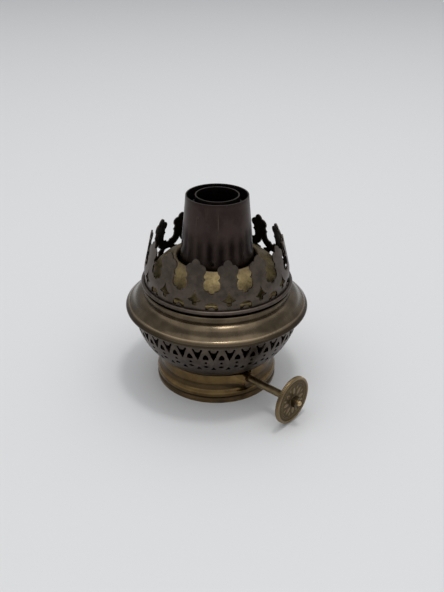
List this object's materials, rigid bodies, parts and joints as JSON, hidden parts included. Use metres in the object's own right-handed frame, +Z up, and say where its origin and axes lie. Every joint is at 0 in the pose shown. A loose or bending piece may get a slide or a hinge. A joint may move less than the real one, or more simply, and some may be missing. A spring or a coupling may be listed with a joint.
{
  "type": "oil lamp burner",
  "caption": "Round-wick oil lamp burner: pierced basket, flange, springy chimney crown, tapering wick tube, dome and a side knob that winds the wick.",
  "frame": {"origin": "on the burner's axis, level with the underside of the collar it stands on", "axes": "+Z up along the wick tube, -Y towards the front, +X to the right; the winder knob points to +X -Y"},
  "size_m": [0.075, 0.0817, 0.0805],
  "materials": {
    "collar_brass": "satin golden brass, lightly tarnished",
    "inner_brass": "dull raw brass",
    "tube_patina": "dark purple-brown patina, satin",
    "basket_bronze": "dark grey-brown bronzed brass, satin",
    "flange_bronze": "dark olive bronzed brass, satin",
    "crown_bronze": "dark grey-brown bronzed brass, satin",
    "dome_brass": "dull olive yellow brass",
    "winder_brass": "antique olive brass, tarnished",
    "wheel_steel": "plain steel",
    "wick_cotton": "woven cotton, charred at its edge"
  },
  "bodies": {
    "burner": {"base_collar": "collar_brass", "thread_ring": "inner_brass", "base_plate": "inner_brass", "wick_tube": "tube_patina", "air_tube": "tube_patina", "air_inlet": "inner_brass", "shaft_guide": "collar_brass", "winder_bracket": "inner_brass", "bracket_rivets": "inner_brass", "basket": "basket_bronze", "draught_plate": "inner_brass", "flange": "flange_bronze", "crown": "crown_bronze", "dome": "dome_brass"},
    "winder": {"winder_shaft": "winder_brass", "winder_knob": "winder_brass", "knob_nut": "winder_brass", "spur_wheel_near": "wheel_steel", "spur_wheel_far": "wheel_steel", "wheel_spacer": "inner_brass", "shaft_stop_ring": "inner_brass"},
    "wick": {"wick": "wick_cotton"}
  },
  "joints": [
    {"name": "winder_turn", "type": "hinge", "parent": "burner", "child": "winder", "pos_m": [-0.00516, -0.00585, 0.0102], "axis": [-0.7501, 0.6613, 0], "range_deg": [-24.6, 49.2]},
    {"name": "wick_raise", "type": "slide", "parent": "burner", "child": "wick", "axis": [0, 0, 1], "range_m": [-0.003, 0.006]}
  ],
  "couplings": [
    {"joint": "winder_turn", "follows": "wick_raise", "rad_per_m": 142.86}
  ]
}
